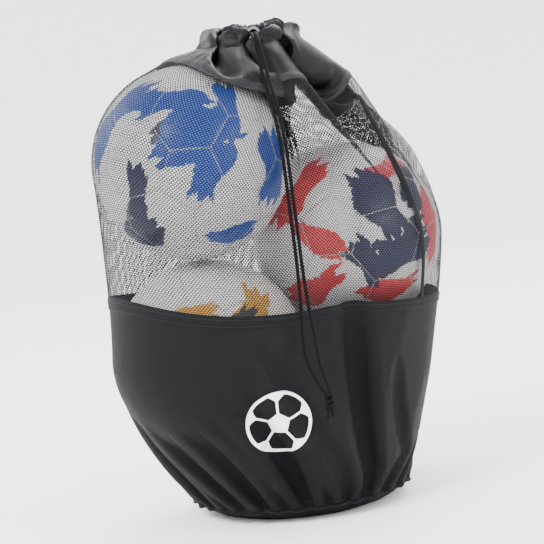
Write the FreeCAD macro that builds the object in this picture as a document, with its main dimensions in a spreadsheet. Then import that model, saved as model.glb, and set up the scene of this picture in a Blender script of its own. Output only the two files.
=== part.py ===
import FreeCAD, Part
import math
import os
import Sketcher

# Mesh ball bag, filled with four size 5 balls and standing on its round base.
# Frame: +Z up, +X to the right of the printed side, -Y towards whoever looks at the
# print. The origin is on the floor, under the middle of the bag.
# The cloth is taken as the tight skin round the balls, the base and the gathered mouth.

doc = FreeCAD.newDocument("mesh_ball_bag")

# ---------------------------------------------------------------- driving sizes, in mm

SIZES = {
    "ball_radius": 110.0,
    "cover_thickness": 2.2,
    "bladder_thickness": 0.8,
    "valve_radius": 4.0,
    "valve_length": 7.0,
    "valve_hole_radius": 0.9,
    "valve_hole_depth": 5.0,
    "ball_fit": 0.3,
    "top_ball_x": -81.0,
    "top_ball_y": -88.1,
    "top_ball_z": 421.0,
    "left_ball_x": -85.0,
    "left_ball_y": -77.6,
    "left_ball_z": 200.0,
    "right_ball_x": 86.0,
    "right_ball_y": 5.9,
    "right_ball_z": 312.0,
    "bottom_ball_x": 40.0,
    "bottom_ball_y": 88.4,
    "bottom_ball_z": 112.5,
    "skin_gap": 2.0,
    "cloth_thickness": 1.4,
    "tape_gap": 0.4,
    "tape_thickness": 1.2,
    "print_thickness": 0.4,
    "print_radius": 37.0,
    "print_x": -16.0,
    "print_z": 128.0,
    "base_x": 2.0,
    "base_y": 27.4,
    "floor_radius": 98.0,
    "base_seam_radius": 128.0,
    "base_seam_z": 16.0,
    "piping_radius": 1.6,
    "belly_x": -20.0,
    "belly_y": 9.0,
    "belly_z": 80.0,
    "belly_radius": 150.0,
    "hem_z": 250.0,
    "hem_tilt": 4.0,
    "hem_tape_width": 12.0,
    "collar_z": 500.0,
    "collar_tilt": 8.7,
    "collar_hoop_z": 478.0,
    "collar_hoop_radius": 118.0,
    "shoulder_z": 435.0,
    "shoulder_radius": 156.0,
    "collar_tape_width": 9.0,
    "seam_tape_width": 9.0,
    "mouth_x": 4.0,
    "mouth_y": -40.0,
    "mouth_z": 547.0,
    "mouth_radius": 34.0,
    "channel_rise": 9.5,
    "channel_ring_radius": 27.0,
    "channel_radius": 10.6,
    "channel_thickness": 1.2,
    "loop_radius": 22.0,
    "loop_angle": 320.0,
    "cord_diameter": 4.0,
    "strand_offset": 2.25,
    "strand_back_y": -65.0,
    "strand_front_y": -84.0,
    "eyelet_bore_radius": 4.75,
    "eyelet_barrel_radius": 5.35,
    "eyelet_flange_radius": 7.5,
    "eyelet_flange_thickness": 0.9,
    "eyelet_front_y": -80.4,
    "eyelet_back_y": -72.6,
    "eyelet_fit": 0.15,
    "washer_radius": 6.5,
    "washer_thickness": 0.8,
    "knot_radius": 5.6,
    "knot_half_height": 9.5,
    "knot_x": 42.2,
    "knot_y": -172.5,
    "knot_z": 147.0,
}


def make_sheet():
    """The spreadsheet of driving sizes, one alias a row."""
    table = doc.addObject("Spreadsheet::Sheet", "Sizes")
    for row, (alias, number) in enumerate(SIZES.items(), start=1):
        table.set(f"A{row}", alias)
        table.set(f"B{row}", str(number))
        table.setAlias(f"B{row}", alias)
    doc.recompute()
    return table


sheet = make_sheet()
subparts = []


def size(expression):
    """The number that an expression of the sheet's aliases gives."""
    return float(sheet.evalExpression(expression))


def bind(thing, bindings):
    """Ties properties of an object to expressions of the sheet."""
    for name, expression in bindings.items():
        thing.setExpression(name, expression)


def keep(thing, label):
    """Marks an object as a sub-part that is written out."""
    thing.Label = label
    subparts.append(thing)
    return thing


def place(thing, x, y, z):
    """Ties an object's position to the sheet."""
    bind(thing, {".Placement.Base.x": x, ".Placement.Base.y": y, ".Placement.Base.z": z})


def solid_feature(shape, label):
    """A sub-part whose shape comes from Part's own functions."""
    feature = doc.addObject("Part::Feature", label)
    feature.Shape = shape
    feature.Placement = FreeCAD.Placement()
    return keep(feature, label)


# ------------------------------------------------------------------- revolved pieces


def revolved_body(label, plane_role, profile, axis_name):
    """A body turned from a closed outline of straight lines, each corner tied to the sheet."""
    body = doc.addObject("PartDesign::Body", label + "_body")
    sketch = body.newObject("Sketcher::SketchObject", label + "_outline")
    plane = next(f for f in body.Origin.OriginFeatures if f.Role == plane_role)
    sketch.AttachmentSupport = (plane, [""])
    sketch.MapMode = "FlatFace"
    corners = [FreeCAD.Vector(size(across), size(along), 0) for across, along in profile]
    count = len(corners)
    for i in range(count):
        sketch.addGeometry(Part.LineSegment(corners[i], corners[(i + 1) % count]), False)
    for i in range(count):
        sketch.addConstraint(Sketcher.Constraint("Coincident", i, 2, (i + 1) % count, 1))
    for i, (across, along) in enumerate(profile):
        for kind, expression, value in (
            ("DistanceX", across, corners[i].x),
            ("DistanceY", along, corners[i].y),
        ):
            number = sketch.addConstraint(Sketcher.Constraint(kind, -1, 1, i, 1, value))
            sketch.renameConstraint(number, f"{kind}_{i}")
            sketch.setExpression(f"Constraints.{kind}_{i}", expression)
    turned = body.newObject("PartDesign::Revolution", label + "_turned")
    turned.Profile = sketch
    turned.ReferenceAxis = (sketch, [axis_name])
    turned.Angle = 360.0
    sketch.Visibility = False
    return keep(body, label)


def make_base_panel():
    """The round floor of the bag: a flat disc whose rim curls up to the seam with the wall."""
    floor_edge = "Sizes.floor_radius"
    seam_edge = "Sizes.base_seam_radius"
    skin = "Sizes.cloth_thickness"
    rise = "Sizes.base_seam_z"
    profile = [
        ("0", "0"),
        (floor_edge, "0"),
        (f"{floor_edge} * 0.4 + {seam_edge} * 0.6 + {skin}", f"{rise} * 0.35"),
        (f"{seam_edge} + {skin}", rise),
        (seam_edge, rise),
        (f"{floor_edge} * 0.42 + {seam_edge} * 0.58", f"{rise} * 0.35 + {skin}"),
        (floor_edge, skin),
        ("0", skin),
    ]
    base = revolved_body("base_panel", "XZ_Plane", profile, "V_Axis")
    place(base, "Sizes.base_x", "Sizes.base_y", "0")


def make_base_piping():
    """The corded piping sewn round the seam between base and wall."""
    piping = doc.addObject("Part::Torus", "piping_ring")
    bind(
        piping,
        {
            "Radius1": "Sizes.base_seam_radius + Sizes.cloth_thickness"
            " + Sizes.piping_radius + 0.2",
            "Radius2": "Sizes.piping_radius",
        },
    )
    place(piping, "Sizes.base_x", "Sizes.base_y", "Sizes.base_seam_z - Sizes.piping_radius - 0.4")
    keep(piping, "base_seam_piping")


# --------------------------------------------------------------------- the cloth skin

BALLS = ("top_ball", "left_ball", "right_ball", "bottom_ball")
TURNS = 36
SECTION_HEIGHTS = (
    16, 30, 50, 75, 105, 140, 175, 210, 250, 290, 330, 370, 405, 435, 460, 480, 500, 516, 528, 537, 543,
    547,
)  # fmt: skip


def skin_supports():
    """What holds the cloth out: (x, y, z, ball radius, hoop radius) of each ball and hoop."""
    reach = size("Sizes.ball_radius + Sizes.skin_gap")
    held = [
        (size(f"Sizes.{ball}_x"), size(f"Sizes.{ball}_y"), size(f"Sizes.{ball}_z"), reach, 0.0)
        for ball in BALLS
    ]
    base_x, base_y = size("Sizes.base_x"), size("Sizes.base_y")
    held.append((base_x, base_y, 0.0, 0.0, size("Sizes.floor_radius")))
    held.append((base_x, base_y, size("Sizes.base_seam_z"), 0.0, size("Sizes.base_seam_radius")))
    belly = (size("Sizes.belly_x"), size("Sizes.belly_y"), size("Sizes.belly_z"))
    held.append((*belly, 0.0, size("Sizes.belly_radius")))
    held.append((0.0, 0.0, size("Sizes.shoulder_z"), 0.0, size("Sizes.shoulder_radius")))
    collar_hoop = size("Sizes.collar_hoop_z")
    held.append((0.0, 0.0, collar_hoop, 0.0, size("Sizes.collar_hoop_radius")))
    mouth = (size("Sizes.mouth_x"), size("Sizes.mouth_y"), size("Sizes.mouth_z"))
    held.append((*mouth, 0.0, size("Sizes.mouth_radius")))
    return held


def skin_planes():
    """Planes that touch the skin: (x, y, z) of the outward direction and the distance out."""
    held = skin_supports()
    planes = []
    for rise_step in range(-18, 19):
        rise = math.radians(rise_step * 5 - (0.01 if rise_step > 0 else -0.01))
        for turn_step in range(90):
            turn = math.radians(turn_step * 4)
            level = math.cos(rise)
            nx, ny, nz = level * math.cos(turn), level * math.sin(turn), math.sin(rise)
            out = max(x * nx + y * ny + z * nz + ball + hoop * level for x, y, z, ball, hoop in held)
            planes.append((nx, ny, nz, out))
    return planes


PLANES = skin_planes()


def middle_y(z):
    """The middle of the bag at this height: on the Z axis, then leaning forward to the mouth."""
    shoulder = size("Sizes.shoulder_z")
    share = (z - shoulder) / (size("Sizes.mouth_z") - shoulder)
    return size("Sizes.mouth_y") * min(1.0, max(0.0, share))


def skin_radius(turn, z, grow):
    """How far the skin, grown by so much, is from its middle at this turn and height."""
    ux, uy = math.cos(turn), math.sin(turn)
    middle = middle_y(z)
    nearest = 1e9
    for nx, ny, nz, out in PLANES:
        facing = nx * ux + ny * uy
        if facing > 0.02:
            nearest = min(nearest, (out + grow - z * nz - middle * ny) / facing)
    return nearest


def skin_solid(grow):
    """Everything inside the skin grown by so much, from the base seam to the mouth."""
    rings = []
    for z in SECTION_HEIGHTS:
        middle = middle_y(z)
        points = []
        for step in range(TURNS):
            turn = 2 * math.pi * step / TURNS
            radius = skin_radius(turn, z, grow)
            across, along = radius * math.cos(turn), radius * math.sin(turn)
            points.append(FreeCAD.Vector(across, middle + along, z))
        curve = Part.BSplineCurve()
        curve.interpolate(Points=points, PeriodicFlag=True)
        rings.append(Part.Wire([curve.toShape()]))
    return Part.makeLoft(rings, True, False)


def slab(low, high, pivot, tilt):
    """A wide block between two heights, tilted down towards +X about a height on the Z axis."""
    block = Part.makeBox(900, 900, high - low, FreeCAD.Vector(-450, -450, low))
    block.rotate(FreeCAD.Vector(0, 0, pivot), FreeCAD.Vector(0, 1, 0), tilt)
    return block


def upright_strip(turn):
    """A tall thin block standing off the Z axis at this turn, as wide as a seam tape."""
    width = size("Sizes.seam_tape_width")
    block = Part.makeBox(300, width, 600, FreeCAD.Vector(20, -width / 2, 0))
    block.rotate(FreeCAD.Vector(0, 0, 0), FreeCAD.Vector(0, 0, 1), turn)
    return block


def largest(shape):
    """The largest solid of a boolean's result, without stray slivers."""
    return max(shape.Solids, key=lambda solid: solid.Volume)


def make_cloth():
    """Wall, net and collar as three bands of one skin, with the tapes sewn over their seams."""
    skin = size("Sizes.cloth_thickness")
    tape_in = skin + size("Sizes.tape_gap")
    tape_out = tape_in + size("Sizes.tape_thickness")
    shell = skin_solid(skin).cut(skin_solid(0.0))
    tape_inside = skin_solid(tape_in)
    tape_shell = skin_solid(tape_out).cut(tape_inside)
    hem, hem_tilt = size("Sizes.hem_z"), size("Sizes.hem_tilt")
    collar, collar_tilt = size("Sizes.collar_z"), size("Sizes.collar_tilt")
    hem_width = size("Sizes.hem_tape_width")
    collar_width = size("Sizes.collar_tape_width")
    far = 400

    below_hem = slab(hem - far, hem, hem, hem_tilt)
    above_collar = slab(collar, collar + far, collar, collar_tilt)
    solid_feature(largest(shell.common(below_hem)), "lower_wall")
    solid_feature(largest(shell.cut(below_hem).cut(above_collar)), "mesh_panel")
    solid_feature(largest(shell.common(above_collar)), "collar_panel")

    hem_band = slab(hem - hem_width, hem, hem, hem_tilt)
    solid_feature(largest(tape_shell.common(hem_band)), "wall_hem_tape")
    collar_band = slab(collar - collar_width, collar, collar, collar_tilt)
    solid_feature(largest(tape_shell.common(collar_band)), "collar_seam_tape")

    base_seam = size("Sizes.base_seam_z")
    above_base = slab(base_seam + 1, base_seam + far, 0, 0)
    above_hem_tape = slab(hem - hem_width - 1, hem + far, hem, hem_tilt)
    wall_seam = tape_shell.common(upright_strip(68)).common(above_base).cut(above_hem_tape)
    solid_feature(largest(wall_seam), "wall_seam_tape")
    above_net = slab(collar - collar_width - 1, collar + far, collar, collar_tilt)
    net_seam = tape_shell.common(upright_strip(-22)).cut(below_hem).cut(above_net)
    solid_feature(largest(net_seam), "mesh_seam_tape")

    disc = Part.makeCylinder(
        size("Sizes.print_radius"),
        far,
        FreeCAD.Vector(size("Sizes.print_x"), 0, size("Sizes.print_z")),
        FreeCAD.Vector(0, -1, 0),
    )
    print_shell = skin_solid(tape_in + size("Sizes.print_thickness")).cut(tape_inside)
    solid_feature(largest(print_shell.common(disc)), "printed_mark")


# ------------------------------------------------------------ gathered mouth and eyelet


def front_cylinder(label, radius, back_y, front_y, across="Sizes.mouth_x"):
    """A round bar along -Y at the height of the eyelet, tied to the sheet."""
    bar = doc.addObject("Part::Cylinder", label)
    bar.Placement.Rotation = FreeCAD.Rotation(FreeCAD.Vector(1, 0, 0), 90)
    bind(bar, {"Radius": radius, "Height": f"({back_y}) - ({front_y})"})
    place(bar, across, back_y, "Sizes.mouth_z + Sizes.channel_rise")
    return bar


def cut(label, base, tool):
    """One object less another."""
    result = doc.addObject("Part::Cut", label)
    result.Base = base
    result.Tool = tool
    return result


def mouth_ring(label, ring_radius, thickness):
    """A ring lying round the mouth of the bag, at the height of the channel."""
    ring = doc.addObject("Part::Torus", label)
    bind(ring, {"Radius1": ring_radius, "Radius2": thickness})
    place(ring, "Sizes.mouth_x", "Sizes.mouth_y", "Sizes.mouth_z + Sizes.channel_rise")
    return ring


CHANNEL_LOBES = ("front", "right_front", "right_back", "back", "left_back", "left_front")


def make_channel():
    """The sewn tube of cloth round the mouth that the cord runs in, a solid for each lobe."""
    ring = "Sizes.channel_ring_radius"
    lobe_angle = 360 / len(CHANNEL_LOBES)
    hole = front_cylinder(
        "channel_hole",
        "Sizes.eyelet_barrel_radius + Sizes.eyelet_fit",
        "Sizes.mouth_y - Sizes.channel_ring_radius",
        "Sizes.eyelet_front_y - 5",
    )
    for number, lobe in enumerate(CHANNEL_LOBES):
        start = (number - 0.5) * lobe_angle - 90
        walls = []
        for side, thickness in (
            ("outside", "Sizes.channel_radius"),
            ("inside", "Sizes.channel_radius - Sizes.channel_thickness"),
        ):
            wall = mouth_ring(f"channel_{side}_{lobe}", ring, thickness)
            wall.Angle3 = lobe_angle
            wall.Placement.Rotation = FreeCAD.Rotation(FreeCAD.Vector(0, 0, 1), start)
            walls.append(wall)
        tube_lobe = cut(f"channel_tube_{lobe}", *walls)
        if lobe == "front":
            tube_lobe = cut("channel_tube_pierced", tube_lobe, hole)
        keep(tube_lobe, "drawcord_channel_" + lobe)


def make_eyelet():
    """The eyelet: a barrel with a front flange, and the washer it is clenched over."""
    bore = front_cylinder(
        "eyelet_bore",
        "Sizes.eyelet_bore_radius",
        "Sizes.eyelet_back_y + 5",
        "Sizes.eyelet_front_y - 5",
    )
    barrel = front_cylinder(
        "eyelet_barrel", "Sizes.eyelet_barrel_radius", "Sizes.eyelet_back_y", "Sizes.eyelet_front_y"
    )
    flange = front_cylinder(
        "eyelet_flange",
        "Sizes.eyelet_flange_radius",
        "Sizes.eyelet_front_y + Sizes.eyelet_flange_thickness",
        "Sizes.eyelet_front_y",
    )
    solid = doc.addObject("Part::Fuse", "eyelet_solid")
    solid.Base = barrel
    solid.Tool = flange
    keep(cut("eyelet_shape", solid, bore), "eyelet")
    plate = front_cylinder(
        "washer_plate",
        "Sizes.washer_radius",
        "Sizes.eyelet_back_y - 0.2",
        "Sizes.eyelet_back_y - 0.2 - Sizes.washer_thickness",
    )
    opening = front_cylinder(
        "washer_opening",
        "Sizes.eyelet_barrel_radius + Sizes.eyelet_fit",
        "Sizes.eyelet_back_y + 5",
        "Sizes.eyelet_back_y - 5",
    )
    keep(cut("washer_shape", plate, opening), "eyelet_washer")


# --------------------------------------------------------------------------- drawcord

# Where each hanging strand runs, from the eyelet over the collar and down to the knot.
LEFT_STRAND = (
    (1.75, -87.0, 556.5),
    (2.40, -98.0, 555.0),
    (3.40, -107.5, 549.0),
    (5.60, -119.5, 532.0),
    (9.00, -136.0, 509.0),
    (13.00, -153.0, 487.0),
    (17.00, -168.0, 462.0),
    (19.80, -176.0, 434.0),
    (21.20, -178.0, 392.0),
    (21.80, -176.0, 345.0),
    (23.00, -174.0, 298.0),
    (22.00, -172.8, 254.0),
    (20.50, -172.3, 222.0),
    (20.80, -172.0, 196.0),
    (29.00, -172.2, 174.0),
    (36.80, -172.4, 160.5),
    (39.90, -172.5, 152.5),
)
RIGHT_STRAND = (
    (6.25, -87.0, 556.5),
    (6.90, -98.3, 555.2),
    (8.20, -107.9, 549.5),
    (10.80, -120.0, 532.5),
    (14.30, -136.5, 509.5),
    (18.40, -153.5, 487.4),
    (22.40, -168.5, 462.3),
    (25.20, -176.5, 434.0),
    (26.20, -178.5, 392.0),
    (27.40, -176.5, 345.0),
    (28.00, -174.4, 298.0),
    (30.50, -172.6, 252.0),
    (34.30, -172.0, 215.0),
    (36.00, -172.0, 188.0),
    (41.00, -172.2, 170.0),
    (44.20, -172.4, 159.5),
    (44.50, -172.5, 152.0),
)
# The two cut ends below the knot.
END_ROUTES = (
    ((40.6, -172.4, 142.0), (39.7, -172.9, 135.0), (38.3, -172.9, 128.5)),
    ((44.0, -172.6, 141.5), (44.9, -172.2, 136.0), (45.0, -172.6, 130.5)),
)


def tube(route, diameter, name):
    """A round cord whose line is straight runs joined by the largest tangent arcs that fit."""
    points = [FreeCAD.Vector(*point) for point in route]
    edges = []
    start = points[0]
    radii = []
    for before, corner, after in zip(points, points[1:], points[2:]):
        come = (corner - before).normalize()
        leave = (after - corner).normalize()
        half_turn = come.getAngle(leave) / 2
        reach = 0.45 * min((corner - before).Length, (after - corner).Length)
        radii.append(reach / math.tan(half_turn))
        arc_start = corner - come * reach
        arc_end = corner + leave * reach
        inwards = (leave - come).normalize()
        sagitta = radii[-1] * (1 / math.cos(half_turn) - 1)
        edges.append(Part.LineSegment(start, arc_start).toShape())
        edges.append(Part.Arc(arc_start, corner + inwards * sagitta, arc_end).toShape())
        start = arc_end
    edges.append(Part.LineSegment(start, points[-1]).toShape())
    path = Part.Wire(edges)
    section = Part.Wire([Part.makeCircle(diameter / 2, points[0], points[1] - points[0])])
    solid = path.makePipeShell([section], True, True)
    expected = math.pi * diameter**2 / 4 * path.Length
    print(f"{name}: length {path.Length:.1f}, smallest radius {min(radii):.1f}, largest {max(radii):.1f},")
    print(f"  volume {solid.Volume:.0f} against {expected:.0f}")
    return solid


def make_drawcord():
    """The cord: its loop in the channel, two strands through the eyelet, knot and cut ends."""
    diameter = size("Sizes.cord_diameter")
    loop = mouth_ring("loop_ring", "Sizes.loop_radius", "Sizes.cord_diameter / 2")
    loop.setExpression("Angle3", "Sizes.loop_angle")
    gap_turn = 270 - (360 + size("Sizes.loop_angle")) / 2
    loop.Placement.Rotation = FreeCAD.Rotation(FreeCAD.Vector(0, 0, 1), gap_turn)
    keep(loop, "drawcord_loop")
    for label, sign in (("drawcord_neck_left", "-"), ("drawcord_neck_right", "+")):
        neck = front_cylinder(
            label + "_bar",
            "Sizes.cord_diameter / 2",
            "Sizes.strand_back_y",
            "Sizes.strand_front_y",
            f"Sizes.mouth_x {sign} Sizes.strand_offset",
        )
        keep(neck, label)
    solid_feature(tube(LEFT_STRAND, diameter, "left strand"), "drawcord_strand_left")
    solid_feature(tube(RIGHT_STRAND, diameter, "right strand"), "drawcord_strand_right")
    ends = Part.Compound([tube(route, diameter, "cut end") for route in END_ROUTES])
    solid_feature(ends, "drawcord_cut_ends")
    knot = doc.addObject("Part::Ellipsoid", "knot_form")
    bind(
        knot,
        {
            "Radius1": "Sizes.knot_half_height",
            "Radius2": "Sizes.knot_radius",
            "Radius3": "Sizes.knot_radius",
        },
    )
    place(knot, "Sizes.knot_x", "Sizes.knot_y", "Sizes.knot_z")
    keep(knot, "end_knot")


# ------------------------------------------------------------------------------ balls


def ball_sphere(label, ball, radius):
    """A sphere at a ball's place."""
    sphere = doc.addObject("Part::Sphere", label)
    bind(sphere, {"Radius": radius})
    place(sphere, f"Sizes.{ball}_x", f"Sizes.{ball}_y", f"Sizes.{ball}_z")
    return sphere


def ball_bar(label, ball, radius, length, outer_distance):
    """A round bar along +Y through a ball's cover, ending at a distance from its centre."""
    bar = doc.addObject("Part::Cylinder", label)
    bar.Placement.Rotation = FreeCAD.Rotation(FreeCAD.Vector(1, 0, 0), 90)
    bind(bar, {"Radius": radius, "Height": length})
    place(bar, f"Sizes.{ball}_x", f"Sizes.{ball}_y + {outer_distance}", f"Sizes.{ball}_z")
    return bar


def make_ball(ball):
    """One ball: sewn cover, rubber bladder inside it, and the valve through both."""
    cover_in = "Sizes.ball_radius - Sizes.cover_thickness"
    bladder_out = f"{cover_in} - Sizes.ball_fit"
    bladder_in = f"{bladder_out} - Sizes.bladder_thickness"
    valve_end = "Sizes.ball_radius - 0.3"
    hole_radius = "Sizes.valve_radius + Sizes.ball_fit"
    cover = cut(
        f"{ball}_cover_shell",
        ball_sphere(f"{ball}_cover_out", ball, "Sizes.ball_radius"),
        ball_sphere(f"{ball}_cover_in", ball, cover_in),
    )
    cover_hole = ball_bar(f"{ball}_cover_hole", ball, hole_radius, "20", "Sizes.ball_radius + 8")
    keep(cut(f"{ball}_cover_shape", cover, cover_hole), f"{ball}_cover")
    bladder = cut(
        f"{ball}_bladder_shell",
        ball_sphere(f"{ball}_bladder_out", ball, bladder_out),
        ball_sphere(f"{ball}_bladder_in", ball, bladder_in),
    )
    bladder_hole = ball_bar(f"{ball}_bladder_hole", ball, hole_radius, "20", "Sizes.ball_radius + 8")
    keep(cut(f"{ball}_bladder_shape", bladder, bladder_hole), f"{ball}_bladder")
    plug = ball_bar(
        f"{ball}_valve_plug", ball, "Sizes.valve_radius", "Sizes.valve_length", valve_end
    )
    needle_hole = ball_bar(
        f"{ball}_needle_hole",
        ball,
        "Sizes.valve_hole_radius",
        "Sizes.valve_hole_depth + 5",
        f"{valve_end} + 5",
    )
    keep(cut(f"{ball}_valve_shape", plug, needle_hole), f"{ball}_valve")


# ------------------------------------------------------------------------ build and save

make_base_panel()
make_base_piping()
make_cloth()
make_channel()
make_eyelet()
make_drawcord()
for ball_name in BALLS:
    make_ball(ball_name)
doc.recompute()

for thing in doc.Objects:
    if "Invalid" in thing.State or "Error" in thing.State:
        raise RuntimeError(f"{thing.Label} failed: {thing.State}")
os.makedirs("parts", exist_ok=True)
for part in subparts:
    if part.Shape.isNull() or not part.Shape.isValid():
        raise RuntimeError(f"{part.Label} has no valid shape")
    part.Shape.exportStep(f"parts/{part.Label}.step")
    print(f"{part.Label}: {part.Shape.Volume:.0f} mm3 in {len(part.Shape.Solids)} solid")
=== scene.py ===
"""Mesh ball bag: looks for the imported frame. Metres, Z up, the bag's front towards -Y."""
import math

import bmesh
import bpy
import numpy as np
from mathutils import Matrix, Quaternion, Vector
from mathutils.bvhtree import BVHTree


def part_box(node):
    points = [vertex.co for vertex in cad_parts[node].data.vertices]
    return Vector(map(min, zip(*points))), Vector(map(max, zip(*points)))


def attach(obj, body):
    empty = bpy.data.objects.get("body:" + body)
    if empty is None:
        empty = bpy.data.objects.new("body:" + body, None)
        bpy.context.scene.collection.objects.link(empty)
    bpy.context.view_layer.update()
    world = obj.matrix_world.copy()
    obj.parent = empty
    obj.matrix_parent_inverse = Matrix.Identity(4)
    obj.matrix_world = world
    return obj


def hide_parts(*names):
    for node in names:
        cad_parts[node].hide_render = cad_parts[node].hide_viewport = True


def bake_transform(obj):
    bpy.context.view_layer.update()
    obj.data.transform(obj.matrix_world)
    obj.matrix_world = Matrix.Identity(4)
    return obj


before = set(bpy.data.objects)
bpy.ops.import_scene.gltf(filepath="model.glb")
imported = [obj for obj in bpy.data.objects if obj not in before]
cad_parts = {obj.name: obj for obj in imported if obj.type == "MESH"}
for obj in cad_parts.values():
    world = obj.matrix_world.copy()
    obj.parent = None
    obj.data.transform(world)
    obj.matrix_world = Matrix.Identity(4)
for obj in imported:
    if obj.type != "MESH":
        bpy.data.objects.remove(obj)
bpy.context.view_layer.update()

MM = 0.001
TAU = math.tau


def span(*nodes):
    """The lowest and highest corner of these CAD nodes together."""
    boxes = [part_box(node) for node in nodes]
    return np.min([low for low, _ in boxes], axis=0), np.max([high for _, high in boxes], axis=0)


def centre(*nodes):
    low, high = span(*nodes)
    return (low + high) / 2


LOBES = [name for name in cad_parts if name.startswith("drawcord_channel")]


# ---- camera, lights and floor


def aim(obj, place, target, roll=0.0):
    obj.location = place
    turn = (Vector(target) - Vector(place)).to_track_quat("-Z", "Y")
    obj.rotation_mode = "QUATERNION"
    obj.rotation_quaternion = turn @ Quaternion((0, 0, 1), math.radians(roll))
    bpy.context.collection.objects.link(obj)


camera = bpy.data.objects.new("camera", bpy.data.cameras.new("camera"))
camera.data.sensor_width = 36
camera.data.lens = 135.7
camera.data.clip_end = 100
target = (-0.005, 0.0, 0.279)
rise = math.radians(6)  # the camera looks down on the bag by this much
distance = 2.4
place = (target[0], -distance * math.cos(rise), target[2] + distance * math.sin(rise))
aim(camera, place, target, roll=-6.4)
bpy.context.scene.camera = camera

for name, where, size, power in (
    ("key", (-1.5, -2.1, 2.3), 1.1, 190), ("fill", (2.2, -1.7, 1.3), 1.4, 60),
    ("rim", (1.0, 1.9, 2.5), 1.4, 90), ("rim_left", (-2.1, 1.2, 1.6), 1.2, 40),
):
    light = bpy.data.lights.new(name, "AREA")
    light.energy = power
    light.size = size
    aim(bpy.data.objects.new(name, light), where, (0, 0, 0.3))

world = bpy.data.worlds.new("studio")
bpy.context.scene.world = world
world.use_nodes = True
world.node_tree.nodes["Background"].inputs["Color"].default_value = (1, 1, 1, 1)
world.node_tree.nodes["Background"].inputs["Strength"].default_value = 2.8


# ---- meshes


def add_mesh(name, verts, faces, corner_uv=None):
    """A mesh object from arrays: every face has the same number of corners."""
    verts = np.asarray(verts, dtype=np.float32).reshape(-1, 3)
    faces = np.asarray(faces, dtype=np.int32)
    mesh = bpy.data.meshes.new(name)
    mesh.vertices.add(len(verts))
    mesh.vertices.foreach_set("co", verts.ravel())
    mesh.loops.add(faces.size)
    mesh.loops.foreach_set("vertex_index", faces.ravel())
    mesh.polygons.add(len(faces))
    mesh.polygons.foreach_set("loop_start", np.arange(0, faces.size, faces.shape[1], dtype=np.int32))
    mesh.update(calc_edges=True)
    mesh.polygons.foreach_set("use_smooth", np.full(len(faces), True))
    if corner_uv is not None:
        layer = mesh.uv_layers.new(name="cloth")
        layer.data.foreach_set("uv", np.asarray(corner_uv, dtype=np.float32).ravel())
    mesh.validate()
    obj = bpy.data.objects.new(name, mesh)
    bpy.context.collection.objects.link(obj)
    return obj


def grid_faces(rows, cols, closed):
    """Faces of a grid and each corner's place in it."""
    across = cols if closed else cols - 1
    i, j = np.meshgrid(np.arange(rows - 1), np.arange(across), indexing="ij")
    i, j = i.ravel(), j.ravel()
    ci = np.stack([i, i, i + 1, i + 1], 1)
    cj = np.stack([j, j + 1, j + 1, j], 1)
    return ci * cols + cj % cols, ci, cj


def add_grid(name, points, closed=True, size=(1.0, 1.0)):
    """A cloth grid: rows up, columns round, with its cloth coordinates in metres."""
    rows, cols = points.shape[:2]
    faces, ci, cj = grid_faces(rows, cols, closed)
    steps = cols if closed else cols - 1
    uv = np.stack([cj * size[0] / steps, ci * size[1] / (rows - 1)], -1)
    return add_mesh(name, points, faces, uv)


def cubic(points, places, wrap):
    """Points at fractional places along the first axis, on a smooth curve through them."""
    count = len(points)
    i = np.floor(places).astype(int)
    f = (places - i).reshape((-1,) + (1,) * (points.ndim - 1))

    def pick(k):
        return points[(i + k) % count] if wrap else points[np.clip(i + k, 0, count - 1)]

    a, b, c, d = pick(-1), pick(0), pick(1), pick(2)
    return b + 0.5 * f * ((c - a) + f * ((2 * a - 5 * b + 4 * c - d) + f * (3 * (b - c) + d - a)))


def patch(points, row_places, col_places, wrap=True):
    """Part of a periodic grid, resampled smoothly."""
    part = cubic(points, np.asarray(row_places, dtype=float), False)
    return cubic(part.swapaxes(0, 1), np.asarray(col_places, dtype=float), wrap).swapaxes(0, 1)


def normals(points, closed=True):
    """Unit directions out of a grid whose columns run anticlockwise seen from above."""
    if closed:
        across = np.roll(points, -1, 1) - np.roll(points, 1, 1)
    else:
        across = np.gradient(points, axis=1)
    out = np.cross(across, np.gradient(points, axis=0))
    return out / (np.linalg.norm(out, axis=2, keepdims=True) + 1e-12)


def wobble(rng, places, terms, decay=1.0):
    """A smooth periodic random curve at these angles."""
    return sum(
        rng.normal() * np.cos(k * places + rng.uniform(0, TAU)) / k**decay
        for k in range(1, terms + 1)
    )


def frames(line):
    """Directions along and across a line, turned as little as they can be."""
    along = np.gradient(line, axis=0)
    along /= np.linalg.norm(along, axis=1, keepdims=True)
    side = np.cross(along[0], (0.0, 0.31, 0.95))
    sides = []
    for direction in along:
        side = side - direction * side.dot(direction)
        side = side / np.linalg.norm(side)
        sides.append(side)
    sides = np.array(sides)
    return along, sides, np.cross(along, sides)


def run_length(line):
    """How far along the line each of its points is."""
    return np.concatenate([[0], np.cumsum(np.linalg.norm(np.diff(line, axis=0), axis=1))])


def at_length(places, far, values):
    """Three columns of values, read off at these lengths."""
    return np.stack([np.interp(places, far, values[:, k]) for k in range(3)], -1)


def resample(line, step):
    """Points on the line about one step apart."""
    far = run_length(line)
    count = max(int(round(far[-1] / step)), 2)
    return at_length(np.linspace(0, far[-1], count + 1), far, line)


BRAID_STEP = 0.42 * MM
BRAID_SIDES = 20


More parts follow.
